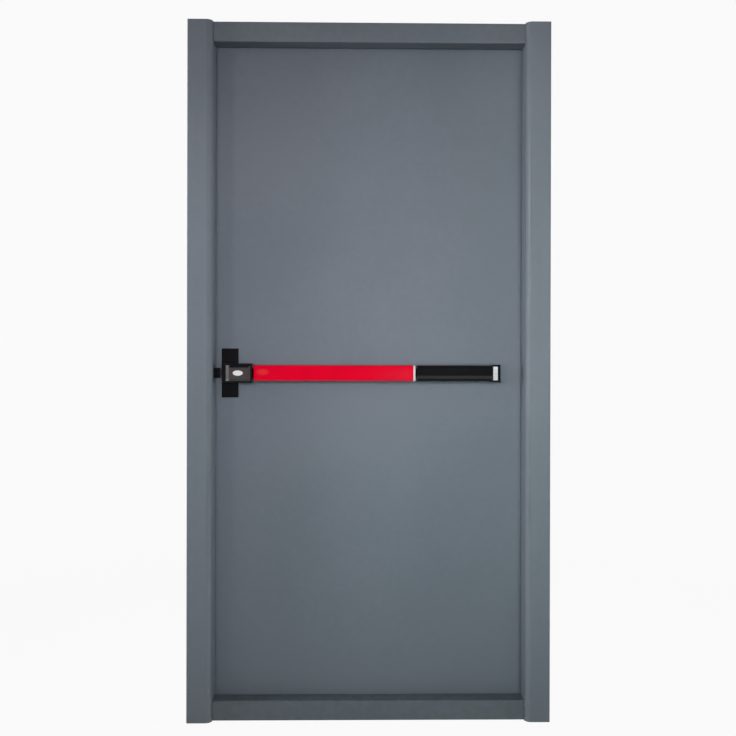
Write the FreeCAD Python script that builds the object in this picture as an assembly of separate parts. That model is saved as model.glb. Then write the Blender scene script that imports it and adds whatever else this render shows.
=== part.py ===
# Steel exit door: a hollow steel leaf hung in a four-sided folded-sheet frame, with a touch-bar exit
# device on its push side. Millimetres, +Z up. X runs along the door from the latch side to the hinge
# side, and +Y points away from the push side, the way the leaf opens. The origin is on the underside
# of the sill, midway between the jambs and midway between the frame's front and back planes.
import FreeCAD, Part
import math
import os

# Frame, overall
frame_width = 1088.0
frame_height = 2100.0
frame_depth = 135.0
jamb_face = 75.0          # width of a jamb seen from the front, up to the reveal
rail_face = 60.0          # height of the head and of the sill seen from the front

# Folded sheet of the frame
frame_sheet = 2.0
bend_outside = 3.5        # outside radius of an ordinary fold
band_step = 20.0          # how far the jambs stand in front of the head and sill
band_round = 20.0         # rounded inner edge of a jamb, at most as large as the step
front_return = 20.0       # fold at the outer edge of a front face, towards the wall
rear_return = 15.0        # the same fold at the back
rebate_width = 18.0       # how far the rebate for the leaf lies behind the reveal

# Leaf
leaf_thickness = 50.0
leaf_skin = 1.2
leaf_edge_round = 2.5     # outside radius of the folds round the leaf
leaf_side_gap = 7.0
leaf_head_gap = 6.0
leaf_sill_gap = 8.0
seal_gap = 5.0            # between the stop and the closed leaf

# Perimeter seal on the stop
seal_width = 7.0
seal_clear = 0.7          # left between the seal and the closed leaf

# Wall anchors: sleeves behind round holes in the jambs' rebates
anchor_hole_radius = 5.5
anchor_sleeve_wall = 3.0  # thinnest part of a hexagonal sleeve's wall
anchor_outer_spacing = 1740.0
anchor_inner_spacing = 700.0

# Butt hinges
hinge_height = 110.0
hinge_plate = 3.0
hinge_plate_reach = 38.0  # from the back plane into the rebate
hinge_barrel_radius = 7.5
hinge_pin_radius = 4.5
hinge_pin_clear = 0.05    # radial, in the knuckles
hinge_head_height = 4.0
hinge_head_rim = 0.8      # how far the barrel stands past the pin's head
hinge_knuckles = 3
hinge_knuckle_gap = 0.6
hinge_barrel_clear = 0.5  # between the barrel and the back plane
hinge_end_distance = 290.0  # from the floor and from the top of the frame to a hinge's middle

# Exit device on the push side of the leaf
device_height = 1045.0    # floor to the middle of the bar
chassis_inset = 19.0      # from the reveal to the chassis plate
chassis_width = 51.0
chassis_height = 150.0
chassis_plate = 8.0
chassis_chamfer = 2.0
case_inset = 8.0          # from the chassis plate's edge to the case
case_width = 90.0
case_height = 58.0
case_depth = 60.0         # from the chassis plate to the front of the case
case_round = 4.0          # corners of the case's free end, seen from the front
case_edge = 1.5           # chamfer round the front of the case
panel_border = 5.0        # plain border round the case's raised panel
panel_border_left = 11.0  # the same at the case's free end
panel_bevel = 8.0
panel_rise = 6.0
badge_length = 30.0
badge_height = 16.0
badge_thick = 1.5

# Rail, fixed cover and end cap of the device
rail_height = 30.0
rail_depth = 36.0
rail_wall = 2.5
cover_length = 227.0
cover_height = 49.0
cover_depth = 57.0        # from the leaf to the front of the cover
cover_wall = 2.0
cover_round = 9.0
cover_lip = 8.5           # height of the lip along the cover's lower edge
cover_lip_set = 3.0       # how far the lip lies behind the cover's front
cover_facet = 9.5         # height of the sloped facet above the lip
cover_crease = 2.6        # outside radius of the folds at the facet and of the lip's edge
end_cap_length = 26.0
end_cap_height = 53.0
end_cap_round = 4.0
end_cap_bevel = 5.0
inlay_width = 14.0
inlay_height = 41.0
inlay_thick = 1.5

# Touch bar
bar_length = 487.0
bar_height = 48.0
bar_depth = 38.0
bar_wall = 2.5
bar_round = 6.0
bar_end_gap = 5.0         # to the case and to the fixed cover
bar_front = 60.0          # from the leaf to the front of the bar at rest
bar_travel = 12.0
bar_cap = 6.0             # length of the caps on the bar's ends
bar_cap_web = 7.0         # how deep the caps are closed behind their front
post_radius = 4.0
post_clear = 0.08         # radial, in the bar's bosses
post_length = 40.0        # from the rail's floor
boss_wall = 3.5
boss_length = 30.0
post_end_distance = 60.0  # from a bar end to a guide post

# Latch bolt and strike
bolt_height = 18.0
bolt_thick = 17.0
bolt_length = 45.0
bolt_slope = 11.0         # how much shorter the bolt is at its front than at its back
bolt_clear = 0.4          # all round, in the case
bolt_travel = 10.0
bolt_tip_clear = 3.5      # from the tip to the strike's lip, so that the leaf swings free
bolt_hold_gap = 2.0       # from the plane of the bolt's holding face to the strike's lip
strike_height = 30.0
strike_reach = 14.5       # from the reveal to the tip of the lip
strike_base = 3.0
strike_length = 33.0
strike_lip = 6.0
strike_edge = 1.5         # from the lip to the edge of the stop

# Places worked out from the sizes
half_width = frame_width / 2
half_opening = half_width - jamb_face
head_soffit = frame_height - rail_face
y_front = -frame_depth / 2
y_back = frame_depth / 2
y_rail_front = y_front + band_step
y_leaf = y_back - leaf_thickness
y_stop = y_leaf - seal_gap

leaf_half = half_opening + rebate_width - leaf_side_gap
leaf_bottom = rail_face - rebate_width + leaf_sill_gap
leaf_top = head_soffit + rebate_width - leaf_head_gap

rebate_floor = half_opening + rebate_width
seal_middle = (bend_outside + rebate_width - leaf_side_gap) / 2
hinge_x = (leaf_half + rebate_floor) / 2
hinge_y = y_back + hinge_barrel_radius + hinge_barrel_clear
hinge_heights = {
    "lower": hinge_end_distance,
    "middle": frame_height / 2,
    "upper": frame_height - hinge_end_distance,
}

chassis_left = -half_opening + chassis_inset
chassis_front = y_leaf - chassis_plate
case_left = chassis_left + case_inset
case_right = case_left + case_width
case_front = chassis_front - case_depth
panel_left = case_left + panel_border_left
panel_right = case_right - panel_border
bar_left = case_right + bar_end_gap
bar_right = bar_left + bar_length
cover_left = bar_right + bar_end_gap
cover_right = cover_left + cover_length
y_bar = y_leaf - bar_front
y_cover = y_leaf - cover_depth

strike_back = y_stop - strike_edge
bolt_tip = -half_opening + strike_reach + bolt_tip_clear
bolt_back = strike_back - strike_lip - bolt_hold_gap


def vector(x, y, z):
    return FreeCAD.Vector(x, y, z)


def block(x0, x1, y0, y1, z0, z1):
    return Part.makeBox(x1 - x0, y1 - y0, z1 - z0, vector(x0, y0, z0))


def joined(shapes):
    solid = shapes[0].fuse(shapes[1:])
    return solid.removeSplitter()


def edges_where(shape, keep):
    return [edge for edge in shape.Edges if keep(edge.CenterOfMass)]


def near(value, target):
    return abs(value - target) < 1e-4


# Plane geometry of folded sections. A section is drawn in its own plane, (u, v), and then placed.

def unit(p, q):
    length = math.dist(p, q)
    return (q[0] - p[0]) / length, (q[1] - p[1]) / length


def offset_left(path, distance, closed):
    """The path moved to its left by a distance, with its corners kept sharp."""
    moved = []
    count = len(path)
    for i, point in enumerate(path):
        before = path[i - 1] if closed or i > 0 else None
        after = path[(i + 1) % count] if closed or i < count - 1 else None
        directions = []
        if before is not None:
            directions.append(unit(before, point))
        if after is not None:
            directions.append(unit(point, after))
        normals = [(-d[1], d[0]) for d in directions]
        a, b = normals[0], normals[-1]
        share = distance / (1 + a[0] * b[0] + a[1] * b[1])
        if len(normals) == 1:
            share = distance / 2
        moved.append((point[0] + share * (a[0] + b[0]), point[1] + share * (a[1] + b[1])))
    return moved


def turns_left(before, corner, after):
    a = unit(before, corner)
    b = unit(corner, after)
    return a[0] * b[1] - a[1] * b[0] > 0


def rounded_wire(path, radii, place):
    """Closed wire through the path, with a tangent arc at each corner that has a radius."""
    count = len(path)
    corners = []
    for i, corner in enumerate(path):
        radius = radii[i]
        back = unit(corner, path[i - 1])
        ahead = unit(corner, path[(i + 1) % count])
        if radius <= 0:
            corners.append((corner, None, corner))
            continue
        half_angle = math.acos(back[0] * ahead[0] + back[1] * ahead[1]) / 2
        cut = radius / math.tan(half_angle)
        start = (corner[0] + cut * back[0], corner[1] + cut * back[1])
        end = (corner[0] + cut * ahead[0], corner[1] + cut * ahead[1])
        inward = unit((0, 0), (back[0] + ahead[0], back[1] + ahead[1]))
        reach = radius / math.sin(half_angle) - radius
        middle = (corner[0] + reach * inward[0], corner[1] + reach * inward[1])
        corners.append((start, middle, end))
    edges = []
    for i, (start, middle, end) in enumerate(corners):
        if middle is not None:
            edges.append(Part.Arc(place(*start), place(*middle), place(*end)).toShape())
        following = corners[(i + 1) % count][0]
        edges.append(Part.LineSegment(place(*end), place(*following)).toShape())
    return Part.Wire(edges)


def fold_radii(path, outside, thickness, closed):
    """Radii on the two sides of a sheet that lies to the left of the path."""
    visible = []
    hidden = []
    count = len(path)
    for i, radius in enumerate(outside):
        at_end = not closed and i in (0, count - 1)
        if at_end:
            visible.append(0)
            hidden.append(0)
        elif turns_left(path[i - 1], path[i], path[(i + 1) % count]):
            visible.append(radius)
            hidden.append(radius - thickness)
        else:
            visible.append(radius - thickness)
            hidden.append(radius)
    return visible, hidden


def folded_sheet(path, outside, thickness, place, along):
    """Open folded sheet: the path is one side of it, and the sheet lies to the path's left."""
    inner = offset_left(path, thickness, False)
    visible, hidden = fold_radii(path, outside, thickness, False)
    outline = path + inner[::-1]
    wire = rounded_wire(outline, visible + hidden[::-1], place)
    return Part.Face(wire).extrude(along)


def folded_tube(path, outside, thickness, place, along):
    """Closed tube with the path as its outside."""
    inner = offset_left(path, thickness, True)
    visible, hidden = fold_radii(path, outside, thickness, True)
    outer_solid = Part.Face(rounded_wire(path, visible, place)).extrude(along)
    inner_solid = Part.Face(rounded_wire(inner, hidden, place)).extrude(along)
    return outer_solid.cut(inner_solid)


# Frame. In its section u grows from the reveal towards the wall, and v is Y.

def stop_and_reveal(y_edge):
    """The part of the section that all four sides share, from the back face to the front edge."""
    return [
        (rebate_width, y_back),
        (rebate_width, y_stop),
        (0, y_stop),
        (0, y_edge),
    ]


def jamb_section():
    back = [(jamb_face, y_back - rear_return), (jamb_face, y_back)]
    band = [(jamb_face, y_front), (jamb_face, y_front + front_return)]
    path = back + stop_and_reveal(y_front) + band
    radii = [bend_outside] * len(path)
    radii[path.index((0, y_front))] = band_round
    return path, radii


def head_section():
    back = [(rail_face, y_back - rear_return), (rail_face, y_back)]
    front = [(rail_face, y_rail_front), (rail_face, y_rail_front + front_return)]
    path = back + stop_and_reveal(y_rail_front) + front
    return path, [bend_outside] * len(path)


def sill_section():
    path = [(rail_face, y_back)] + stop_and_reveal(y_rail_front) + [(rail_face, y_rail_front)]
    return path, [bend_outside] * len(path)


def anchor_heights():
    middle = frame_height / 2
    spacings = (anchor_outer_spacing, anchor_inner_spacing)
    return [middle + side * spacing / 2 for spacing in spacings for side in (-1, 1)]


def anchor_y():
    return (y_stop + y_back) / 2


def hinge_jamb():
    path, radii = jamb_section()
    jamb = folded_sheet(
        path,
        radii,
        frame_sheet,
        lambda u, v: vector(half_opening + u, v, 0),
        vector(0, 0, frame_height),
    )
    for height in anchor_heights():
        start = vector(half_opening, anchor_y(), height)
        drill = Part.makeCylinder(anchor_hole_radius, jamb_face, start, vector(1, 0, 0))
        jamb = jamb.cut(drill)
    return jamb


def hexagon(middle, half_across):
    """Hexagonal face square to X, with two of its flats level."""
    reach = half_across / math.cos(math.pi / 6)
    corners = []
    for i in range(6):
        turn = i * math.pi / 3
        corners.append(middle + vector(0, reach * math.cos(turn), reach * math.sin(turn)))
    return Part.Face(Part.makePolygon(corners + corners[:1]))


def hinge_jamb_anchor_sleeves():
    start_x = rebate_floor + frame_sheet
    length = half_width - start_x
    sleeves = []
    for height in anchor_heights():
        start = vector(start_x, anchor_y(), height)
        along = vector(1, 0, 0)
        outer = hexagon(start, anchor_hole_radius + anchor_sleeve_wall).extrude(along * length)
        bore = Part.makeCylinder(anchor_hole_radius, length, start, along)
        sleeves.append(outer.cut(bore))
    return Part.makeCompound(sleeves)


def mirrored(shape):
    return shape.mirror(vector(0, 0, 0), vector(1, 0, 0))


def coped(rail, z0, z1):
    """A head or sill cut back at both ends, so that it meets the jambs' reveals and rebates."""
    past_bend = y_stop + bend_outside - frame_sheet
    for side in (-1, 1):
        x0, x1 = sorted((side * half_opening, side * rebate_floor))
        rail = rail.cut(block(x0, x1, y_front, past_bend, z0, z1))
    return rail


def frame_head():
    path, radii = head_section()
    rail = folded_sheet(
        path,
        radii,
        frame_sheet,
        lambda u, v: vector(-rebate_floor, v, head_soffit + u),
        vector(2 * rebate_floor, 0, 0),
    )
    return coped(rail, head_soffit, frame_height)


def frame_sill():
    path, radii = sill_section()
    rail = folded_tube(
        path,
        radii,
        frame_sheet,
        lambda u, v: vector(-rebate_floor, v, rail_face - u),
        vector(2 * rebate_floor, 0, 0),
    )
    return coped(rail, 0, rail_face)


# Perimeter seals: a flat foot on the stop and a half-round bulb towards the leaf

def seal_along(place, along):
    """A straight seal. In its section u grows from the reveal towards the wall, and v is Y."""
    foot = (seal_gap - seal_clear) / 2
    near_u = seal_middle - seal_width / 2
    far_u = seal_middle + seal_width / 2
    foot_y = y_stop + foot
    crest_y = y_leaf - seal_clear
    edges = [
        Part.LineSegment(place(near_u, y_stop), place(far_u, y_stop)),
        Part.LineSegment(place(far_u, y_stop), place(far_u, foot_y)),
        Part.Arc(place(far_u, foot_y), place(seal_middle, crest_y), place(near_u, foot_y)),
        Part.LineSegment(place(near_u, foot_y), place(near_u, y_stop)),
    ]
    wire = Part.Wire([edge.toShape() for edge in edges])
    return Part.Face(wire).extrude(along)


def hinge_side_seal():
    """Upright seal between the head's seal and the sill's."""
    bottom = rail_face - seal_middle + seal_width / 2
    top = head_soffit + seal_middle - seal_width / 2
    return seal_along(
        lambda u, v: vector(half_opening + u, v, bottom),
        vector(0, 0, top - bottom),
    )


def head_seal():
    reach = half_opening + seal_middle + seal_width / 2
    return seal_along(
        lambda u, v: vector(-reach, v, head_soffit + u),
        vector(2 * reach, 0, 0),
    )


def sill_seal():
    reach = half_opening + seal_middle + seal_width / 2
    return seal_along(
        lambda u, v: vector(-reach, v, rail_face - u),
        vector(2 * reach, 0, 0),
    )


# Leaf: two folded pans that meet in a seam round the middle of its edge

def leaf_pan(y_face, y_seam):
    y0, y1 = sorted((y_face, y_seam))
    pan = block(-leaf_half, leaf_half, y0, y1, leaf_bottom, leaf_top)
    face_edges = edges_where(pan, lambda c: near(c.y, y_face))
    pan = pan.makeFillet(leaf_edge_round, face_edges)
    inset = leaf_skin
    inner_y0 = y0 + inset if y_face == y0 else y0
    inner_y1 = y1 - inset if y_face == y1 else y1
    hollow = block(
        -leaf_half + inset,
        leaf_half - inset,
        inner_y0,
        inner_y1,
        leaf_bottom + inset,
        leaf_top - inset,
    )
    inner_face = inner_y0 if y_face == y0 else inner_y1
    inner_edges = edges_where(hollow, lambda c: near(c.y, inner_face))
    hollow = hollow.makeFillet(leaf_edge_round - leaf_skin, inner_edges)
    return pan.cut(hollow)


def leaf_front_skin():
    return leaf_pan(y_leaf, (y_leaf + y_back) / 2)


def leaf_back_skin():
    return leaf_pan(y_back, (y_leaf + y_back) / 2)


# Hinges. The frame's plate carries the odd knuckles and the leaf's plate the even ones.

def knuckle_spans(middle):
    pitch = hinge_height / hinge_knuckles
    bottom = middle - hinge_height / 2
    for i in range(hinge_knuckles):
        lower_gap = hinge_knuckle_gap / 2 if i > 0 else 0
        upper_gap = hinge_knuckle_gap / 2 if i < hinge_knuckles - 1 else 0
        yield i, bottom + i * pitch + lower_gap, bottom + (i + 1) * pitch - upper_gap


def hinge_plate_with_knuckles(middle, x0, x1, knuckle_parity):
    bottom = middle - hinge_height / 2
    top = middle + hinge_height / 2
    plate_end = y_back - hinge_barrel_clear
    pieces = [block(x0, x1, y_back - hinge_plate_reach, plate_end, bottom, top)]
    for i, z0, z1 in knuckle_spans(middle):
        if i % 2 != knuckle_parity:
            continue
        pieces.append(block(x0, x1, plate_end, hinge_y, z0, z1))
        pieces.append(Part.makeCylinder(hinge_barrel_radius, z1 - z0, vector(hinge_x, hinge_y, z0)))
    solid = joined(pieces)
    bore = hinge_pin_radius + hinge_pin_clear
    drill = Part.makeCylinder(bore, hinge_height, vector(hinge_x, hinge_y, bottom))
    return solid.cut(drill)


def hinge_frame_plate(middle):
    x1 = rebate_floor
    return hinge_plate_with_knuckles(middle, x1 - hinge_plate, x1, 0)


def hinge_leaf_plate(middle):
    x0 = leaf_half
    return hinge_plate_with_knuckles(middle, x0, x0 + hinge_plate, 1)


def hinge_pin(middle):
    """Pin with a button head on the barrel's upper end. Its lower end is flush with the barrel."""
    bottom = vector(hinge_x, hinge_y, middle - hinge_height / 2)
    top = vector(hinge_x, hinge_y, middle + hinge_height / 2)
    shaft = Part.makeCylinder(hinge_pin_radius, hinge_height, bottom)
    head = Part.makeCylinder(hinge_barrel_radius - hinge_head_rim, hinge_head_height, top)
    return joined([shaft, head])


# Exit device

def chassis_plate_solid():
    half = chassis_height / 2
    plate = block(
        chassis_left,
        chassis_left + chassis_width,
        chassis_front,
        y_leaf,
        device_height - half,
        device_height + half,
    )
    front_edges = edges_where(plate, lambda c: near(c.y, chassis_front))
    return plate.makeChamfer(chassis_chamfer, front_edges)


def bolt_pocket():
    half = bolt_height / 2 + bolt_clear
    depth = bolt_tip + bolt_length + bolt_travel + bolt_clear
    return block(
        case_left,
        depth,
        bolt_back - bolt_thick - bolt_clear,
        bolt_back + bolt_clear,
        device_height - half,
        device_height + half,
    )


def panel_rectangle(inset, y):
    half = case_height / 2 - panel_border - inset
    x0 = panel_left + inset
    x1 = panel_right - inset
    corners = [
        vector(x0, y, device_height - half),
        vector(x1, y, device_height - half),
        vector(x1, y, device_height + half),
        vector(x0, y, device_height + half),
    ]
    return Part.makePolygon(corners + corners[:1])


def latch_case():
    half = case_height / 2
    y_border = case_front + panel_rise
    body = block(
        case_left,
        case_right,
        y_border,
        chassis_front,
        device_height - half,
        device_height + half,
    )
    middle_y = (y_border + chassis_front) / 2
    free_corners = edges_where(body, lambda c: near(c.y, middle_y) and near(c.x, case_left))
    body = body.makeFillet(case_round, free_corners)
    body = body.makeChamfer(case_edge, edges_where(body, lambda c: near(c.y, y_border)))
    panel = Part.makeLoft(
        [panel_rectangle(0, y_border), panel_rectangle(panel_bevel, case_front)],
        True,
        True,
    )
    return joined([body, panel]).cut(bolt_pocket())


def case_badge():
    middle = vector((panel_left + panel_right) / 2, case_front, device_height)
    out = vector(0, -1, 0)
    oval = Part.Ellipse(middle, badge_length / 2, badge_height / 2)
    oval.Axis = out
    oval.XAxis = vector(1, 0, 0)
    return Part.Face(Part.Wire([oval.toShape()])).extrude(out * badge_thick)


def channel_path(height, y_rear, y_nose):
    """Section of a channel that opens towards the leaf: u is Z from the device's middle, v is Y."""
    half = height / 2
    return [(-half, y_rear), (-half, y_nose), (half, y_nose), (half, y_rear)]


def channel(height, y_rear, y_nose, wall, outside_round, x0, x1):
    path = channel_path(height, y_rear, y_nose)
    radii = [outside_round] * len(path)
    return folded_sheet(
        path,
        radii,
        wall,
        lambda u, v: vector(x0, v, device_height + u),
        vector(x1 - x0, 0, 0),
    )


def base_rail():
    """Channel that opens to the front, with its floor on the leaf."""
    half = rail_height / 2
    nose = y_leaf - rail_depth
    path = [(half, nose), (half, y_leaf), (-half, y_leaf), (-half, nose)]
    rail = folded_sheet(
        path,
        [bend_outside] * len(path),
        rail_wall,
        lambda u, v: vector(case_right, v, device_height + u),
        vector(cover_right - case_right, 0, 0),
    )
    return rail


def post_places():
    return (bar_left + post_end_distance, bar_right - post_end_distance)


def bar_guide_posts():
    floor = y_leaf - rail_wall
    posts = []
    for x in post_places():
        start = vector(x, floor, device_height)
        posts.append(Part.makeCylinder(post_radius, post_length, start, vector(0, -1, 0)))
    return Part.makeCompound(posts)


def rail_cover():
    """Channel with a rounded upper edge, and a sloped facet and a set-back lip along its lower edge."""
    half = cover_height / 2
    y_lip = y_cover + cover_lip_set
    path = [
        (-half, y_leaf),
        (-half, y_lip),
        (-half + cover_lip, y_lip),
        (-half + cover_lip + cover_facet, y_cover),
        (half, y_cover),
        (half, y_leaf),
    ]
    radii = [cover_crease] * len(path)
    radii[path.index((half, y_cover))] = cover_round
    return folded_sheet(
        path,
        radii,
        cover_wall,
        lambda u, v: vector(cover_left, v, device_height + u),
        vector(cover_right - cover_left, 0, 0),
    )


def end_cap():
    """Solid moulded end: rounded above and below, bevelled at its free end, with the inlay's seat."""
    half = end_cap_height / 2
    x0 = cover_right
    x1 = cover_right + end_cap_length
    section = rounded_wire(
        channel_path(end_cap_height, y_leaf, y_cover),
        [0, end_cap_round, end_cap_round, 0],
        lambda u, v: vector(x0, v, device_height + u),
    )
    bar = Part.Face(section).extrude(vector(end_cap_length, 0, 0))
    plan = [
        vector(x0, y_cover, device_height - half),
        vector(x1 - end_cap_bevel, y_cover, device_height - half),
        vector(x1, y_cover + end_cap_bevel, device_height - half),
        vector(x1, y_leaf, device_height - half),
        vector(x0, y_leaf, device_height - half),
    ]
    bevelled = Part.Face(Part.makePolygon(plan + plan[:1])).extrude(vector(0, 0, end_cap_height))
    return bar.common(bevelled).cut(inlay_block())


def inlay_block():
    x0 = cover_right + (end_cap_length - end_cap_bevel - inlay_width) / 2
    half = inlay_height / 2
    return block(
        x0,
        x0 + inlay_width,
        y_cover,
        y_cover + inlay_thick,
        device_height - half,
        device_height + half,
    )


def end_cap_inlay():
    return inlay_block()


def touch_bar():
    y_rear = y_bar + bar_depth
    bar = channel(
        bar_height, y_rear, y_bar, bar_wall, bar_round, bar_left + bar_cap, bar_right - bar_cap
    )
    face = y_bar + bar_wall / 2
    pieces = [bar]
    bores = []
    for x in post_places():
        start = vector(x, face, device_height)
        along = vector(0, 1, 0)
        radius = post_radius + post_clear
        pieces.append(Part.makeCylinder(radius + boss_wall, boss_length, start, along))
        bore_start = vector(x, y_bar + bar_wall, device_height)
        bores.append(Part.makeCylinder(radius, boss_length + bar_wall, bore_start, along))
    return joined(pieces).cut(Part.makeCompound(bores))


def bar_cap_at(x0):
    """Short channel like the bar's own, closed at the front as far as the rail allows."""
    x1 = x0 + bar_cap
    half = bar_height / 2 - bar_wall
    skin = channel(bar_height, y_bar + bar_depth, y_bar, bar_wall, bar_round, x0, x1)
    web = block(
        x0, x1, y_bar + bar_wall, y_bar + bar_cap_web, device_height - half, device_height + half
    )
    web_edges = edges_where(web, lambda c: near(c.y, y_bar + bar_wall) and not near(c.z, device_height))
    web = web.makeFillet(bar_round - bar_wall, web_edges)
    return joined([skin, web])


def touch_bar_left_cap():
    return bar_cap_at(bar_left)


def touch_bar_right_cap():
    return bar_cap_at(bar_right - bar_cap)


def latch_bolt():
    """Bolt with a sloped front, so that it rides over the strike when the leaf closes."""
    half = bolt_height / 2
    bolt_front = bolt_back - bolt_thick
    end = bolt_tip + bolt_length
    outline = [
        vector(bolt_tip, bolt_back, device_height - half),
        vector(end, bolt_back, device_height - half),
        vector(end, bolt_front, device_height - half),
        vector(bolt_tip + bolt_slope, bolt_front, device_height - half),
    ]
    face = Part.Face(Part.makePolygon(outline + outline[:1]))
    return face.extrude(vector(0, 0, bolt_height))


def strike():
    """Base on the reveal and a round-nosed lip that stands behind the bolt."""
    half = strike_height / 2
    x0 = -half_opening
    base = block(
        x0,
        x0 + strike_base,
        strike_back - strike_length,
        strike_back,
        device_height - half,
        device_height + half,
    )
    nose = strike_lip / 2
    lip_front = strike_back - strike_lip
    neck = x0 + strike_reach - nose
    lip = block(x0, neck, lip_front, strike_back, device_height - half, device_height + half)
    start = vector(neck, lip_front + nose, device_height - half)
    tip = Part.makeCylinder(nose, strike_height, start)
    return joined([base, lip, tip])


def main():
    nodes = {
        "hinge_jamb": hinge_jamb(),
        "latch_jamb": mirrored(hinge_jamb()),
        "frame_head": frame_head(),
        "frame_sill": frame_sill(),
        "hinge_jamb_anchor_sleeves": hinge_jamb_anchor_sleeves(),
        "latch_jamb_anchor_sleeves": mirrored(hinge_jamb_anchor_sleeves()),
        "hinge_side_seal": hinge_side_seal(),
        "latch_side_seal": mirrored(hinge_side_seal()),
        "head_seal": head_seal(),
        "sill_seal": sill_seal(),
        "strike": strike(),
        "leaf_front_skin": leaf_front_skin(),
        "leaf_back_skin": leaf_back_skin(),
        "chassis_plate": chassis_plate_solid(),
        "latch_case": latch_case(),
        "case_badge": case_badge(),
        "base_rail": base_rail(),
        "bar_guide_posts": bar_guide_posts(),
        "rail_cover": rail_cover(),
        "end_cap": end_cap(),
        "end_cap_inlay": end_cap_inlay(),
        "touch_bar": touch_bar(),
        "touch_bar_left_cap": touch_bar_left_cap(),
        "touch_bar_right_cap": touch_bar_right_cap(),
        "latch_bolt": latch_bolt(),
    }
    for name, height in hinge_heights.items():
        nodes[f"{name}_hinge_frame_plate"] = hinge_frame_plate(height)
        nodes[f"{name}_hinge_leaf_plate"] = hinge_leaf_plate(height)
        nodes[f"{name}_hinge_pin"] = hinge_pin(height)
    os.makedirs("parts", exist_ok=True)
    for name, shape in nodes.items():
        solids = len(shape.Solids)
        print(f"{name}: {solids} solid(s), valid {shape.isValid()}, {shape.Volume:.0f} mm3")
        shape.exportStep(f"parts/{name}.step")


main()
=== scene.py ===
from math import hypot, pi, radians
import bpy
from mathutils import Matrix, Vector


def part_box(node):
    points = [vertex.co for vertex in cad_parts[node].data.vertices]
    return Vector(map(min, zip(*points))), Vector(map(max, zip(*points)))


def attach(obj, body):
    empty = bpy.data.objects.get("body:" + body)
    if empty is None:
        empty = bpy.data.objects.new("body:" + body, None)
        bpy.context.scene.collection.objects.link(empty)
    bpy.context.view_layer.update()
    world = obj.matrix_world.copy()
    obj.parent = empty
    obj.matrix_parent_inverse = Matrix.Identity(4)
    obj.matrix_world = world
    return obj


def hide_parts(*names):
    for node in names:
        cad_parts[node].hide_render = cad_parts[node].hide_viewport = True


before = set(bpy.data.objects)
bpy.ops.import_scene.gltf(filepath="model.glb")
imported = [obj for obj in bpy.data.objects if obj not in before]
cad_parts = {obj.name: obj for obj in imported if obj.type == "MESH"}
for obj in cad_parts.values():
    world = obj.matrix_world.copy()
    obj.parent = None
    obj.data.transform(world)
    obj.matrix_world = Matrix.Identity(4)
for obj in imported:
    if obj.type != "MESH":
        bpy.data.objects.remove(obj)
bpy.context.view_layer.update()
print("frame loaded,", len(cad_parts), "nodes")


# one output of a shader node; sums on it add Math nodes to its tree
class Strand:
    def __init__(self, tree, socket):
        self.tree = tree
        self.socket = socket

    def out(self, name):  # another output of the same node
        return Strand(self.tree, self.socket.node.outputs[name])

    def maths(self, operation, first, second):
        return self.tree.add("ShaderNodeMath", {"operation": operation}, {0: first, 1: second})

    def __add__(self, other):
        return self.maths("ADD", self, other)

    def __radd__(self, other):
        return self.maths("ADD", other, self)

    def __sub__(self, other):
        return self.maths("SUBTRACT", self, other)

    def __rsub__(self, other):
        return self.maths("SUBTRACT", other, self)

    def __mul__(self, other):
        return self.maths("MULTIPLY", self, other)

    def __rmul__(self, other):
        return self.maths("MULTIPLY", other, self)

    def __abs__(self):
        return self.maths("ABSOLUTE", self, 0.0)

    def larger(self, other):
        return self.maths("MAXIMUM", self, other)


class NodeTree:
    def __init__(self, nodeTree):
        self.nodes = nodeTree.nodes
        self.links = nodeTree.links

    def fill(self, node, sockets):
        for name, value in sockets.items():
            if isinstance(value, Strand):
                self.links.new(value.socket, node.inputs[name])
            else:
                node.inputs[name].default_value = value

    def add(self, kind, settings={}, sockets={}, out=0):
        node = self.nodes.new(kind)
        for name, value in settings.items():
            setattr(node, name, value)
        self.fill(node, sockets)
        return Strand(self, node.outputs[out])

    def split(self, vector):
        x = self.add("ShaderNodeSeparateXYZ", sockets={"Vector": vector})
        return x, x.out("Y"), x.out("Z")

    def rise(self, value, low, high):  # 0 below low, 1 above high, smooth between
        sockets = {"Value": value, "From Min": low, "From Max": high}
        return self.add("ShaderNodeMapRange", {"interpolation_type": "SMOOTHSTEP"}, sockets)

    def mix(self, share, first, second):  # colours
        sockets = {0: share, 6: first, 7: second}
        return self.add("ShaderNodeMix", {"data_type": "RGBA"}, sockets, out=2)


class Finish(NodeTree):
    def __init__(self, name):
        self.material = bpy.data.materials.new(name)
        self.material.use_nodes = True
        super().__init__(self.material.node_tree)
        self.shader = self.nodes["Principled BSDF"]
        self.place = self.add("ShaderNodeTexCoord", out="Object")

    def noise(self, scale, detail=2.0, roughness=0.5, place=None):
        vector = self.place if place is None else place
        sockets = {"Vector": vector, "Scale": scale, "Detail": detail, "Roughness": roughness}
        return self.add("ShaderNodeTexNoise", sockets=sockets)

    def stretched(self, x, y, z):
        return self.add("ShaderNodeMapping", sockets={"Vector": self.place, "Scale": (x, y, z)})

    def bump(self, height, depth, under=None):
        sockets = {"Height": height, "Distance": depth, "Strength": 1.0}
        if under is not None:
            sockets["Normal"] = under
        return self.add("ShaderNodeBump", sockets=sockets)

    def surface(self, sockets):
        self.fill(self.shader, sockets)
        return self.material


def screenColour(red, green, blue):  # 0 to 255 as a screen shows it, to linear
    shares = [part / 255 for part in (red, green, blue)]
    linear = [s / 12.92 if s <= 0.04045 else ((s + 0.055) / 1.055) ** 2.4 for s in shares]
    return (*linear, 1.0)


# In these dictionaries a pair named for marks, such as patches or stains, holds the noise levels where
# the mark starts and where it is full. Metal and roughness go from plain to what each mark adds.

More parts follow.
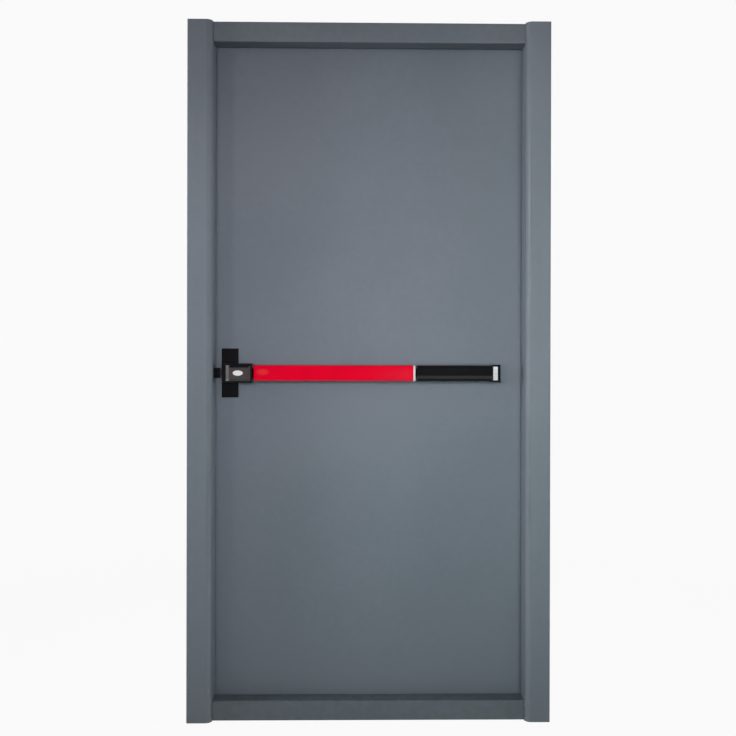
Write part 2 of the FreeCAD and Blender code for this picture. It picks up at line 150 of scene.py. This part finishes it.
# grey-blue coat on the folded sheet: broad unevenness, orange peel, dust by the floor, painted shade on
# the head and sill
steelPaint = {
    "leaf": (screenColour(112, 119, 128), screenColour(106, 114, 123)),
    "frame": (screenColour(116, 123, 131), screenColour(110, 118, 126)),  # painted light: a shade lighter, for the light the jambs catch and the recessed leaf does not
    "dust": screenColour(128, 126, 118),
    "joint": screenColour(38, 41, 46),
    # painted shade on the head and sill, and trodden dirt on the sill
    "grimeAndShade": screenColour(62, 70, 74),
    "cloudScale": 1.6,
    "mottleScale": 46.0,
    "mottleShare": 0.25,  # in the patches, where the rest is cloud
    "patches": (0.4, 0.62),
    "waveScale": 2.2,
    "waveDepth": 0.0010,
    "peelScale": 420.0,
    "peelDepth": 0.00003,
    "dustSpots": (0.42, 0.7),
    "dustTop": 0.22,
    "dustShare": 0.22,
    "grimeAndShadeShare": (0.2, 0.36),  # even, and with the mottle
    "crossbarReach": 0.001,  # how far the painted shade, the sill's dirt and the joints reach past the sill and the head
    "shadeAndGrimeSoft": 0.0008,
    "headShade": 0.5,  # painted shade on the head, less than the shade and trodden dirt on the sill
    "jointShare": 0.4,
    "jointDepth": 3.0,  # in peel depths
    "jointHalf": 0.00025,  # half the width of a joint line
    "jointSoft": 0.0007,
    "band": 0.020,  # rounded inner edge of a jamb
    "bandFull": 0.8,  # share of the band that is polished all over
    "leafRub": 0.004,  # polished strip along the leaf's edges
    "roughness": (0.40, 0.08, 0.08),  # plain, mottle, dust
    "rubGloss": 0.2,
    "specular": 0.4,
}


def jointLine(finish, distance):  # 1 on the line, 0 off it
    return 1 - finish.rise(abs(distance), steelPaint["jointHalf"], steelPaint["jointSoft"])


# each gives three masks: joint lines, edges polished by use, and darkening, which on the frame is painted
# shade on the head and sill, with trodden dirt on the sill
def leafMarks(finish, x, y, z):
    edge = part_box("leaf_front_skin")[1]
    seam = jointLine(finish, y - edge.y)  # where the two pans meet round the leaf's edge
    rubbedAndHighlight = finish.rise(abs(x), edge.x - steelPaint["leafRub"], edge.x)
    return seam, rubbedAndHighlight, 0.0


def frameMarks(finish, x, y, z):
    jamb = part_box("hinge_jamb")[0]
    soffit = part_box("frame_head")[0].z
    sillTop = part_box("frame_sill")[1].z
    reach, band = steelPaint["crossbarReach"], steelPaint["band"]
    full = steelPaint["bandFull"] * band
    onSill = 1 - finish.rise(z, sillTop, sillTop + reach)
    onHead = finish.rise(z, soffit - reach, soffit)
    between = 1 - finish.rise(abs(x), jamb.x - steelPaint["shadeAndGrimeSoft"], jamb.x)
    butt = jointLine(finish, abs(x) - jamb.x) * onSill.larger(onHead)  # head and sill meet the jambs
    front = 1 - finish.rise(y, jamb.y + full, jamb.y + band)
    rounded = 1 - finish.rise(abs(x), jamb.x + full, jamb.x + band)
    # the third mask: painted shade on the head and sill, with trodden dirt on the sill
    return butt, front * rounded, between * (steelPaint["headShade"] * onHead + onSill)


def paintedSteel(name, coat, marks):
    paint = steelPaint
    finish = Finish(name)
    x, y, z = finish.split(finish.place)
    clouds = finish.noise(paint["cloudScale"], detail=3.0)
    mottle = finish.noise(paint["mottleScale"], detail=4.0, roughness=0.6)
    wave = finish.noise(paint["waveScale"], detail=1.0)
    peel = finish.noise(paint["peelScale"], detail=1.5)
    joint, rubbedAndHighlight, shadeAndDirt = marks(finish, x, y, z)
    nearFloor = 1 - finish.rise(z, 0.0, paint["dustTop"])
    dust = nearFloor * finish.rise(mottle, *paint["dustSpots"])
    uneven = (1 - paint["mottleShare"]) * clouds + paint["mottleShare"] * mottle
    colour = finish.mix(finish.rise(uneven, *paint["patches"]), *paint[coat])
    colour = finish.mix(paint["dustShare"] * dust, colour, paint["dust"])
    even, mottled = paint["grimeAndShadeShare"]
    # darkens the head and sill: painted shade, with trodden dirt on the sill
    colour = finish.mix((even + mottled * mottle) * shadeAndDirt, colour, paint["grimeAndShade"])
    colour = finish.mix(paint["jointShare"] * joint, colour, paint["joint"])
    flat = finish.bump(wave, paint["waveDepth"])
    skin = finish.bump(peel - paint["jointDepth"] * joint, paint["peelDepth"], under=flat)
    plain, byMottle, byDust = paint["roughness"]
    return finish.surface({
        "Base Color": colour,
        "Roughness": plain + byMottle * mottle + byDust * dust - paint["rubGloss"] * rubbedAndHighlight,
        "Normal": skin,
        "Specular IOR Level": paint["specular"],
    })


# black moulded covers and the black-coated chassis
deviceBlack = {
    "colour": screenColour(17, 17, 20),
    "worn": screenColour(26, 25, 26),
    "smearScale": 24.0,
    "smearStretch": (0.35, 1.0, 1.0),
    "smears": (0.5, 0.78),
    "grainScale": 1300.0,
    "grainDepth": 0.000012,
    "roughness": (0.07, 0.08),  # plain, smear
    "specular": 0.4,
}


def blackGrain(finish):  # colour, roughness and grain
    black = deviceBlack
    across = finish.stretched(*black["smearStretch"])
    smear = finish.noise(black["smearScale"], detail=5.0, roughness=0.65, place=across)
    grain = finish.noise(black["grainScale"], detail=1.0)
    colour = finish.mix(finish.rise(smear, *black["smears"]), black["colour"], black["worn"])
    plain, bySmear = black["roughness"]
    return colour, plain + bySmear * smear, finish.bump(grain, black["grainDepth"])


def blackDevice(name):
    finish = Finish(name)
    colour, rough, skin = blackGrain(finish)
    return finish.surface({
        "Base Color": colour,
        "Roughness": rough,
        "Normal": skin,
        "Specular IOR Level": deviceBlack["specular"],
    })


# latch case: black body and a raised panel with a dark grey face and a grey bevel by the bar; its other
# bevels stay black as painted shade, and the bevel at the free end is painted bright as a painted
# highlight
latchCase = {
    "face": screenColour(88, 77, 76),
    "faceDeep": screenColour(76, 67, 66),
    # painted highlight: the bright bevel at the free end
    "rubbedAndHighlight": screenColour(150, 148, 146),
    "border": 0.011,  # from the case's free end to the panel
    "bevel": 0.008,
    "rise": 0.006,
    "edge": 0.0006,  # over which one tone passes into the next
    "edgeStart": 0.1,  # share of it that is left plain
    "highlightFade": (0.5, 1.7),  # where the painted highlight fades, from the panel's edge, in bevel widths
    "flakeScale": 2600.0,
    "flakes": (0.35, 0.65),
    "metal": 0.35,
    "faceRough": 0.13,
}


def greyCase(name):
    case = latchCase
    finish = Finish(name)
    black, rough, skin = blackGrain(finish)
    x, y, z = finish.split(finish.place)
    low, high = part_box("latch_case")
    left = low.x + case["border"]
    ground = low.y + case["rise"]
    start = case["edgeStart"] * case["edge"]
    upright = abs(z - (low.z + high.z) / 2)
    mitre = x - high.x + (high.z - low.z) / 2 - upright  # above 0 on the bevel next to the bar
    raised = 1 - finish.rise(y, ground - case["edge"], ground - start)
    front = 1 - finish.rise(y, low.y + start, low.y + case["edge"])
    # the panel's bevels above, below and at the free end stay black: painted shade
    face = front.larger(raised * finish.rise(mitre, 0.0, case["edge"]))
    # painted highlight: the bevel at the free end lightened, fading into the face
    rubAndHighlight = raised * (1 - finish.rise(x, *[left + widths * case["bevel"] for widths in case["highlightFade"]]))
    flake = finish.noise(case["flakeScale"], detail=1.0)
    grey = finish.mix(finish.rise(flake, *case["flakes"]), case["face"], case["faceDeep"])
    colour = finish.mix(face, black, grey)
    return finish.surface({
        "Base Color": finish.mix(rubAndHighlight, colour, case["rubbedAndHighlight"]),
        "Metallic": case["metal"] * face.larger(rubAndHighlight),
        "Roughness": rough + case["faceRough"] * face,
        "Normal": skin,
    })


# red coat of the touch bar, with a clear layer, fine handling marks and a paler spot by the case, which is
# a painted reflection
barRed = {
    "colour": screenColour(219, 0, 39),
    "deeper": screenColour(210, 0, 37),
    "scuff": screenColour(224, 30, 54),
    "paintedReflection": screenColour(230, 92, 78),
    "cloudScale": 9.0,
    "clouds": (0.4, 0.7),
    "markScale": 70.0,
    "markStretch": (0.25, 1.0, 1.6),
    "scuffs": (0.66, 0.74),
    "scuffShare": 0.3,
    "peelScale": 480.0,
    "peelDepth": 0.00002,
    # painted reflection: a paler spot near the case end
    "spot": (0.021, 0.003),  # from the bar's end and middle
    "spotHalf": 0.012,  # half its height
    "spotLong": 2.0,  # its length, in heights
    "spotShare": 0.24,
    "spotCloud": (0.2, 1.6),  # even, and with the cloud
    "roughness": (0.07, 0.1, 0.03),  # plain, scuff, marks
    "coat": (0.08, 0.06),  # plain, and lost where it is scuffed
    "coatRough": 0.05,
    "specular": 0.2,
}


def redBar(name):
    red = barRed
    finish = Finish(name)
    along = finish.stretched(*red["markStretch"])
    cloud = finish.noise(red["cloudScale"], detail=3.0)
    marks = finish.noise(red["markScale"], detail=6.0, roughness=0.7, place=along)
    peel = finish.noise(red["peelScale"], detail=1.0)
    scuff = finish.rise(marks, *red["scuffs"])
    colour = finish.mix(finish.rise(cloud, *red["clouds"]), red["colour"], red["deeper"])
    colour = finish.mix(red["scuffShare"] * scuff, colour, red["scuff"])
    x, _, z = finish.split(finish.place)
    low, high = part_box("touch_bar")
    # painted reflection: a paler spot by the case
    across = x - (low.x + red["spot"][0])
    above = z - ((low.z + high.z) / 2 + red["spot"][1])
    away = red["spotLong"] ** -2 * across * across + above * above
    spot = 1 - finish.rise(away, 0.0, red["spotHalf"] ** 2)
    even, clouded = red["spotCloud"]
    colour = finish.mix(red["spotShare"] * spot * (even + clouded * cloud), colour, red["paintedReflection"])
    plain, byScuff, byMarks = red["roughness"]
    coat, lost = red["coat"]
    return finish.surface({
        "Base Color": colour,
        "Roughness": plain + byScuff * scuff + byMarks * marks,
        "Coat Weight": coat - lost * scuff,
        "Coat Roughness": red["coatRough"],
        "Specular IOR Level": red["specular"],
        "Normal": finish.bump(peel, red["peelDepth"]),
    })


# satin aluminium with drawn lines, bare on the trims and black on the base rail
drawnAluminium = {
    "bare": (screenColour(222, 223, 227), screenColour(204, 205, 209)),
    "black": (screenColour(30, 30, 32), screenColour(20, 20, 22)),
    "lineScale": 900.0,
    "lineStretch": (0.02, 1.0, 1.0),
    "lines": (0.4, 0.68),
    "lineDepth": 0.00001,
    "cloudScale": 60.0,
    "metal": (0.25, 0.1),  # plain, cloud
    "roughness": (0.3, 0.16),  # plain, lines
}


def satinAluminium(name, tone):
    metal = drawnAluminium
    finish = Finish(name)
    along = finish.stretched(*metal["lineStretch"])
    drawn = finish.noise(metal["lineScale"], detail=3.0, roughness=0.6, place=along)
    cloud = finish.noise(metal["cloudScale"], detail=2.0)
    plainMetal, byCloud = metal["metal"]
    plainRough, byLines = metal["roughness"]
    return finish.surface({
        "Base Color": finish.mix(finish.rise(drawn, *metal["lines"]), *metal[tone]),
        "Metallic": plainMetal + byCloud * cloud,
        "Roughness": plainRough + byLines * drawn,
        "Normal": finish.bump(drawn, metal["lineDepth"]),
    })


# bright plate of the badge, painted near white as a painted reflection standing in for the shine of
# polished metal, with faint wiping marks
brightPlate = {
    "colour": screenColour(248, 248, 248),
    "wiped": screenColour(236, 236, 238),
    "wipeScale": 700.0,
    "wipeStretch": (0.1, 1.0, 1.0),
    "wipes": (0.4, 0.8),
    "metal": (0.2, 0.05),  # plain, wiped
    "roughness": (0.14, 0.1),  # plain, wiped
}


def polishedPlate(name):
    plate = brightPlate
    finish = Finish(name)
    along = finish.stretched(*plate["wipeStretch"])
    wipe = finish.rise(finish.noise(plate["wipeScale"], detail=4.0, place=along), *plate["wipes"])
    plainMetal, wipedMetal = plate["metal"]
    plainRough, wipedRough = plate["roughness"]
    return finish.surface({
        "Base Color": finish.mix(wipe, plate["colour"], plate["wiped"]),
        "Metallic": plainMetal + wipedMetal * wipe,
        "Roughness": plainRough + wipedRough * wipe,
    })


# zinc-plated steel of hinges, sleeves and posts: cloudy plating with a little tarnish
zincSteel = {
    "colour": screenColour(188, 190, 190),
    "cloud": screenColour(160, 164, 168),
    "tarnish": screenColour(136, 128, 112),
    "cloudScale": 85.0,
    "clouds": (0.38, 0.66),
    "stainScale": 30.0,
    "stains": (0.56, 0.74),
    "stainShare": 0.45,
    "grainScale": 1500.0,
    "grainStretch": (1.0, 1.0, 0.15),
    "grainDepth": 0.000012,
    "metal": (0.92, 0.25),  # plain, and lost where it is stained
    "roughness": (0.28, 0.18, 0.15),  # plain, cloud, stain
}


def platedZinc(name):
    zinc = zincSteel
    finish = Finish(name)
    upright = finish.stretched(*zinc["grainStretch"])
    cloud = finish.noise(zinc["cloudScale"], detail=4.0, roughness=0.6)
    grain = finish.noise(zinc["grainScale"], detail=2.0, place=upright)
    stain = finish.rise(finish.noise(zinc["stainScale"], detail=5.0, roughness=0.65), *zinc["stains"])
    colour = finish.mix(finish.rise(cloud, *zinc["clouds"]), zinc["colour"], zinc["cloud"])
    metal, lost = zinc["metal"]
    plain, byCloud, byStain = zinc["roughness"]
    return finish.surface({
        "Base Color": finish.mix(zinc["stainShare"] * stain, colour, zinc["tarnish"]),
        "Metallic": metal - lost * stain,
        "Roughness": plain + byCloud * cloud + byStain * stain,
        "Normal": finish.bump(grain, zinc["grainDepth"]),
    })


# blackened steel of the bolt, rubbed a little brighter the way it slides
darkSteel = {
    "colour": screenColour(58, 58, 60),
    "rubbedAndHighlight": screenColour(134, 133, 130),
    "rubScale": 260.0,
    "rubStretch": (0.06, 1.0, 1.0),
    "rubs": (0.4, 0.7),
    "rubShare": 0.45,
    "rubDepth": 0.000004,
    "metal": 0.6,
    "roughness": (0.42, 0.1),  # plain, and lost where it is rubbed
}


def blackenedSteel(name):
    steel = darkSteel
    finish = Finish(name)
    rubAndHighlight = finish.noise(steel["rubScale"], detail=2.0, place=finish.stretched(*steel["rubStretch"]))
    worn = finish.rise(rubAndHighlight, *steel["rubs"])
    rough, lost = steel["roughness"]
    return finish.surface({
        "Base Color": finish.mix(steel["rubShare"] * worn, steel["colour"], steel["rubbedAndHighlight"]),
        "Metallic": steel["metal"],
        "Roughness": rough - lost * worn,
        "Normal": finish.bump(rubAndHighlight, steel["rubDepth"]),
    })


# extruded black rubber with a faint bloom
sealRubber = {
    "colour": screenColour(30, 30, 32),
    "bloom": screenColour(66, 66, 66),
    "bloomScale": 40.0,
    "blooms": (0.5, 0.8),
    "bloomShare": 0.6,
    "poreScale": 1700.0,
    "poreDepth": 0.00003,
    "roughness": (0.62, 0.2),  # plain, bloom
    "specular": 0.35,
}


def blackRubber(name):
    rubber = sealRubber
    finish = Finish(name)
    bloom = finish.rise(finish.noise(rubber["bloomScale"], detail=5.0, roughness=0.7), *rubber["blooms"])
    pores = finish.noise(rubber["poreScale"], detail=2.0)
    plain, byBloom = rubber["roughness"]
    return finish.surface({
        "Base Color": finish.mix(rubber["bloomShare"] * bloom, rubber["colour"], rubber["bloom"]),
        "Roughness": plain + byBloom * bloom,
        "Normal": finish.bump(pores, rubber["poreDepth"]),
        "Specular IOR Level": rubber["specular"],
    })


finishes = {
    "frame_paint": paintedSteel("frame_paint_coat", "frame", frameMarks),
    "leaf_paint": paintedSteel("leaf_paint_coat", "leaf", leafMarks),
    "seal_rubber": blackRubber("seal_rubber_black"),
    "dark_steel": blackenedSteel("dark_steel_bolt"),
    "zinc_steel": platedZinc("zinc_steel_plated"),
    "device_black": blackDevice("device_black_moulded"),
    "case_grey": greyCase("case_grey_panel"),
    "bar_red": redBar("bar_red_coat"),
    "rail_aluminium": satinAluminium("rail_aluminium_satin", "bare"),
}
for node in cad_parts.values():
    for slot in node.material_slots:
        slot.material = finishes[slot.material.name.split(".")[0]]
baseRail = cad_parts["base_rail"]
baseRail.material_slots[0].material = satinAluminium("rail_aluminium_black", "black")
print("finishes on", len(finishes), "slots")

smoothAngle = radians(32)  # faces that meet at less than this look round


def clearSelection():
    if bpy.context.object and bpy.context.object.mode != "OBJECT":
        bpy.ops.object.mode_set(mode="OBJECT")
    bpy.ops.object.select_all(action="DESELECT")


# selects faces by their normal or edges by their ends, and stays in edit mode
def pick(piece, kind, wanted):
    bpy.context.view_layer.objects.active = piece
    bpy.ops.object.mode_set(mode="EDIT")
    bpy.ops.mesh.select_mode(type=kind)
    bpy.ops.mesh.select_all(action="DESELECT")
    bpy.ops.object.mode_set(mode="OBJECT")
    points = piece.data.vertices
    if kind == "FACE":
        for face in piece.data.polygons:
            face.select = wanted(face.normal)
    else:
        for edge in piece.data.edges:
            edge.select = wanted(*[points[i].co for i in edge.vertices])
    bpy.ops.object.mode_set(mode="EDIT")


# applies a piece's place, names and coats it, and hangs it on its body
def settle(piece, name, body, slot, finish=None):
    clearSelection()
    piece.select_set(True)
    bpy.context.view_layer.objects.active = piece
    bpy.ops.object.transform_apply(location=True, rotation=True, scale=True)
    bpy.ops.object.shade_smooth_by_angle(angle=smoothAngle)
    piece.name = name
    piece.data.name = name
    piece.data.materials.clear()
    piece.data.materials.append(finish or finishes[slot])
    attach(piece, body)


# blank oval plate on the case: a rounded rim, a sunk moat and a domed middle
caseBadge = {
    "sides": 72,
    "rim": 0.0010,
    "rimRound": 0.0004,
    "rimSteps": 3,
    "moat": 0.0004,
    "moatDepth": 0.0006,
    "dome": 0.0007,
    "rings": (1.0, 0.85, 0.68, 0.5, 0.32, 0.14),  # sizes of the dome's rings, as shares of its foot
}


def modelBadge():
    low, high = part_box("case_badge")
    middle = (low + high) / 2
    size = high - low
    clearSelection()
    bpy.ops.mesh.primitive_cylinder_add(
        vertices=caseBadge["sides"], radius=1.0, depth=1.0, location=middle, rotation=(pi / 2, 0, 0)
    )
    badge = bpy.context.object
    badge.scale = (size.x / 2, size.z / 2, size.y)
    bpy.ops.object.transform_apply(location=True, rotation=True, scale=True)
    pick(badge, "FACE", lambda normal: round(normal.y) == -1)
    bpy.ops.mesh.inset(thickness=caseBadge["rim"], depth=0.0)
    bpy.ops.mesh.inset(thickness=caseBadge["moat"], depth=-caseBadge["moatDepth"])
    for wide, narrow in zip(caseBadge["rings"], caseBadge["rings"][1:]):
        lift = caseBadge["dome"] * (wide ** 2 - narrow ** 2)
        bpy.ops.mesh.extrude_region_move(TRANSFORM_OT_translate={"value": (0, -lift, 0)})
        bpy.ops.transform.resize(value=(narrow / wide, 1, narrow / wide), center_override=middle)
    midRim = (size.x - caseBadge["rim"]) / size.x  # between the rim's two edges

    def onOutline(point):  # of the front face
        across = hypot((point.x - middle.x) / size.x, (point.z - middle.z) / size.z)
        return 2 * across > midRim and point.y < middle.y

    pick(badge, "EDGE", lambda a, b: onOutline(a) and onOutline(b))
    bpy.ops.mesh.bevel(offset=caseBadge["rimRound"], segments=caseBadge["rimSteps"])
    settle(badge, "case_badge_oval", "leaf", "rail_aluminium", polishedPlate("case_badge_plate"))
    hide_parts("case_badge")


modelBadge()
print("badge modelled")


# screw head with a cross recess, made at the origin with its head up and then copied
screwSizes = {
    "chassis": {"radius": 0.0042, "proud": 0.0007, "cross": 0.0027, "slot": 0.0010},
    "hinge": {"radius": 0.0046, "proud": 0.0003, "cross": 0.0030, "slot": 0.0011},
    "strike": {"radius": 0.0034, "proud": 0.0006, "cross": 0.0022, "slot": 0.0009},
}
screwHead = {
    "sides": 32,
    "round": 0.55,  # of how far it stands proud
    "roundSteps": 3,
    "recess": 1.6,  # height of the cutter, half of it above the head, in the same measure
    "firstTurn": 11,  # degrees
    "nextTurn": 37,  # from screw to screw, so that no two crosses line up
}


def modelScrew(size):
    proud = size["proud"]
    clearSelection()
    bpy.ops.mesh.primitive_cylinder_add(
        vertices=screwHead["sides"], radius=size["radius"], depth=2 * proud, location=(0, 0, 0)
    )
    head = bpy.context.object
    pick(head, "EDGE", lambda a, b: min(a.z, b.z) > 0)
    bpy.ops.mesh.bevel(offset=screwHead["round"] * proud, segments=screwHead["roundSteps"])
    clearSelection()
    bpy.ops.mesh.primitive_cube_add(size=size["slot"], location=(0, 0, proud))
    cross = bpy.context.object
    pick(cross, "FACE", lambda normal: round(normal.z) == 0)
    arm = size["cross"] - size["slot"] / 2
    bpy.ops.mesh.extrude_faces_move(TRANSFORM_OT_shrink_fatten={"value": arm})
    clearSelection()
    cross.scale = (1, 1, screwHead["recess"] * proud / size["slot"])
    head.select_set(True)
    bpy.context.view_layer.objects.active = head
    recess = head.modifiers.new("recess", "BOOLEAN")
    recess.object = cross
    recess.solver = "EXACT"
    bpy.ops.object.modifier_apply(modifier="recess")
    bpy.data.objects.remove(cross)
    return head


def driveScrews(name, size, places, facing, body, slot):  # one joined piece for a plate's screws
    pattern = modelScrew(size)
    turn = Vector((0, 0, 1)).rotation_difference(Vector(facing)).to_matrix().to_4x4()
    copies = []
    for i, place in enumerate(places):
        screw = pattern.copy()
        screw.data = pattern.data.copy()
        bpy.context.collection.objects.link(screw)
        spin = Matrix.Rotation(radians(screwHead["nextTurn"] * i + screwHead["firstTurn"]), 4, "Z")
        screw.matrix_world = Matrix.Translation(place) @ turn @ spin
        copies.append(screw)
    bpy.data.objects.remove(pattern)
    clearSelection()
    for screw in copies:
        screw.select_set(True)
    bpy.context.view_layer.objects.active = copies[0]
    bpy.ops.object.join()
    settle(copies[0], name, body, slot)


chassisScrews = {"fromEnd": 0.016, "fromSide": 0.012}
low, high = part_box("chassis_plate")
places = [
    (x, low.y, z)
    for x in (low.x + chassisScrews["fromSide"], high.x - chassisScrews["fromSide"])
    for z in (low.z + chassisScrews["fromEnd"], high.z - chassisScrews["fromEnd"])
]
driveScrews("chassis_screws", screwSizes["chassis"], places, (0, -1, 0), "leaf", "device_black")

# four staggered screws in each hinge plate: height from its middle, and distance from its inner edge
hingeScrews = {
    "places": ((-0.041, 0.0105), (-0.014, 0.0265), (0.014, 0.0265), (0.041, 0.0105)),
    "plate": 0.003,
    "between": 0.001,  # the two plates of a closed hinge
}
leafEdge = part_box("leaf_front_skin")[1].x
for level in ("lower", "middle", "upper"):
    for body, facing, gap in (("frame", (-1, 0, 0), hingeScrews["between"]), ("leaf", (1, 0, 0), 0)):
        low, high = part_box(f"{level}_hinge_{body}_plate")
        wall = leafEdge + hingeScrews["plate"] + gap
        middle = (low.z + high.z) / 2
        places = [(wall, low.y + reach, middle + row) for row, reach in hingeScrews["places"]]
        name = f"{level}_hinge_{body}_screws"
        driveScrews(name, screwSizes["hinge"], places, facing, body, "zinc_steel")

strikeScrews = {"apart": 0.018, "base": 0.003, "fromFront": 0.0135}
low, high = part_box("strike")
middle = (low.z + high.z) / 2
places = [
    (low.x + strikeScrews["base"], low.y + strikeScrews["fromFront"], middle + rise)
    for rise in (-strikeScrews["apart"] / 2, strikeScrews["apart"] / 2)
]
driveScrews("strike_screws", screwSizes["strike"], places, (1, 0, 0), "frame", "device_black")
print("screws driven")


# pale floor that fades into the white of the studio
studioFloor = {
    "sides": 96,
    "radius": 9.0,
    "below": 0.0006,
    "nearWhite": 0.93,  # share of plain white; the rest takes the shadow
    "fadeFrom": 1.4,
    "fadeTo": 4.5,
    "dimFrom": -2.4,  # reflections lose the white of the floor towards the camera
    "dimTo": -1.3,
    "paper": (0.955, 0.955, 0.955, 1.0),
    "nearPaper": (1.0, 1.0, 1.0, 1.0),
    "bounce": (0.10, 0.10, 0.10, 1.0),
}


def layFloor():
    clearSelection()
    bpy.ops.mesh.primitive_circle_add(
        vertices=studioFloor["sides"],
        radius=studioFloor["radius"],
        fill_type="NGON",
        location=(0, 0, -studioFloor["below"]),
    )
    floor = bpy.context.object
    floor.name = "studio_floor"
    material = bpy.data.materials.new("studio_floor_paper")
    material.use_nodes = True
    tree = NodeTree(material.node_tree)
    tree.nodes.remove(tree.nodes["Principled BSDF"])
    rays = tree.add("ShaderNodeLightPath", out="Is Camera Ray")
    place = tree.add("ShaderNodeTexCoord", out="Object")
    ahead = tree.rise(tree.split(place)[1], studioFloor["dimFrom"], studioFloor["dimTo"])
    mirrored = rays.out("Is Glossy Ray").larger(rays.out("Is Transmission Ray"))
    seen = rays.larger(mirrored * ahead)
    away = tree.add("ShaderNodeVectorMath", {"operation": "LENGTH"}, {0: place}, out="Value")
    far = tree.rise(away, studioFloor["fadeFrom"], studioFloor["fadeTo"])
    white = studioFloor["nearWhite"] + (1 - studioFloor["nearWhite"]) * far
    colour = tree.mix(seen, studioFloor["bounce"], studioFloor["paper"])
    matt = tree.add("ShaderNodeBsdfDiffuse", sockets={"Color": colour})
    paper = tree.mix(far, studioFloor["nearPaper"], studioFloor["paper"])
    glow = tree.add("ShaderNodeEmission", sockets={"Color": paper, "Strength": 1.0})
    blend = tree.add("ShaderNodeMixShader", sockets={0: seen * white, 1: matt, 2: glow})
    tree.fill(tree.nodes["Material Output"], {"Surface": blend})
    floor.data.materials.append(material)


layFloor()


# white behind the door and to its sides, more so on the left; a dim room on the camera's side
studioWorld = {
    "paper": 0.955,
    "ambient": 0.166,
    "room": 0.1,
    "lean": 0.15,  # how far the white comes round on the left
    "sideFrom": -0.1,
    "sideTo": 0.6,
}


def lightWorld():
    world = bpy.data.worlds.new("studio")
    world.use_nodes = True
    bpy.context.scene.world = world
    tree = NodeTree(world.node_tree)
    rays = tree.add("ShaderNodeLightPath", out="Is Camera Ray")
    mirrored = rays.out("Is Glossy Ray").larger(rays.out("Is Transmission Ray"))
    x, y, _ = tree.split(tree.add("ShaderNodeTexCoord", out="Generated"))
    white = tree.rise(y - studioWorld["lean"] * x, studioWorld["sideFrom"], studioWorld["sideTo"])
    room = studioWorld["room"] + (studioWorld["paper"] - studioWorld["room"]) * white
    unseen = mirrored * room + (1 - mirrored) * studioWorld["ambient"]
    level = rays * studioWorld["paper"] + (1 - rays) * unseen
    tree.fill(tree.nodes["Background"], {"Color": (1, 1, 1, 1), "Strength": level})


lightWorld()

# broad boxes, kept out of reflections so that black faces stay black; only the strip is mirrored
softBoxes = {
    "upper_left_box": {
        "place": (-0.7, -4.2, 1.6), "aim": (-0.46, 0, 1.34), "size": (0.8, 0.5),
        "watts": 4.2, "spread": 46, "colour": (1.0, 0.92, 0.99), "mirrored": False,
    },
    "upper_right_box": {
        "place": (0.6, -4.2, 1.6), "aim": (0.4, 0, 1.36), "size": (0.8, 0.5),
        "watts": 2.8, "spread": 46, "colour": (1.0, 0.86, 0.89), "mirrored": False,
    },
    "lower_right_box": {
        "place": (0.6, -4.2, 0.7), "aim": (0.4, 0, 0.75), "size": (0.8, 0.5),
        "watts": 3.9, "spread": 46, "colour": (0.76, 1.0, 0.96), "mirrored": False,
    },
    "corner_box": {
        "place": (1.5, -3.9, 2.0), "aim": (0.66, 0, 1.75), "size": (0.4, 0.6),
        "watts": 0.4, "spread": 22, "colour": (0.88, 1.0, 0.97), "mirrored": False,
    },
    "strip_box": {
        "place": (-2.6, -2.9, 1.8), "aim": (0.6, 0, 1.35), "size": (0.3, 2.2),
        "watts": 2.0, "spread": 40, "colour": (1.0, 0.98, 0.94), "mirrored": True,
    },
    "left_box": {
        "place": (-3.2, -0.6, 1.2), "aim": (0.47, 0, 1.15), "size": (0.5, 1.6),
        "watts": 8.0, "spread": 60, "colour": (0.95, 0.99, 1.0), "mirrored": False,
    },
    "right_box": {
        "place": (3.2, -0.6, 1.2), "aim": (-0.47, 0, 1.15), "size": (0.5, 1.6),
        "watts": 5.5, "spread": 60, "colour": (1.0, 1.0, 1.0), "mirrored": False,
    },
    "back_left_box": {
        "place": (-0.7, 4.2, 1.8), "aim": (-0.3, 0, 1.2), "size": (0.8, 0.5),
        "watts": 6.0, "spread": 60, "colour": (1.0, 0.98, 0.97), "mirrored": False,
    },
    "back_right_box": {
        "place": (0.9, 4.2, 1.4), "aim": (0.6, 0, 1.0), "size": (0.8, 0.5),
        "watts": 6.0, "spread": 60, "colour": (0.96, 0.99, 1.0), "mirrored": False,
    },
}
for name, box in softBoxes.items():
    clearSelection()
    bpy.ops.object.light_add(type="AREA", location=box["place"])
    lamp = bpy.context.object
    lamp.name = name
    lamp.rotation_euler = (Vector(box["aim"]) - lamp.location).to_track_quat("-Z", "Y").to_euler()
    lamp.data.shape = "RECTANGLE"
    lamp.data.size, lamp.data.size_y = box["size"]
    lamp.data.energy = box["watts"]
    lamp.data.spread = radians(box["spread"])
    lamp.data.color = box["colour"]
    lamp.visible_glossy = box["mirrored"]
print("studio lit by", len(softBoxes), "soft boxes")


# fitted to the frame's corners in the photograph; angles in radians, focal length and side in pixels
photoCamera = {
    "place": (-0.0507, -2.990, 1.0672),
    "turn": -0.0161,
    "tilt": -0.0021,
    "roll": 0.0021,
    "focal": 978.2,
    "side": 736,
    "sensor": 36.0,  # millimetres
}
clearSelection()
bpy.ops.object.camera_add()
camera = bpy.context.object
camera.name = "photo_camera"
turned = (
    Matrix.Rotation(photoCamera["turn"], 4, "Z")
    @ Matrix.Rotation(pi / 2 + photoCamera["tilt"], 4, "X")
    @ Matrix.Rotation(photoCamera["roll"], 4, "Z")
)
camera.matrix_world = Matrix.Translation(photoCamera["place"]) @ turned
camera.data.sensor_width = photoCamera["sensor"]
camera.data.lens = photoCamera["sensor"] * photoCamera["focal"] / photoCamera["side"]
bpy.context.scene.camera = camera
bpy.context.scene.view_settings.view_transform = "Standard"
print("camera set")
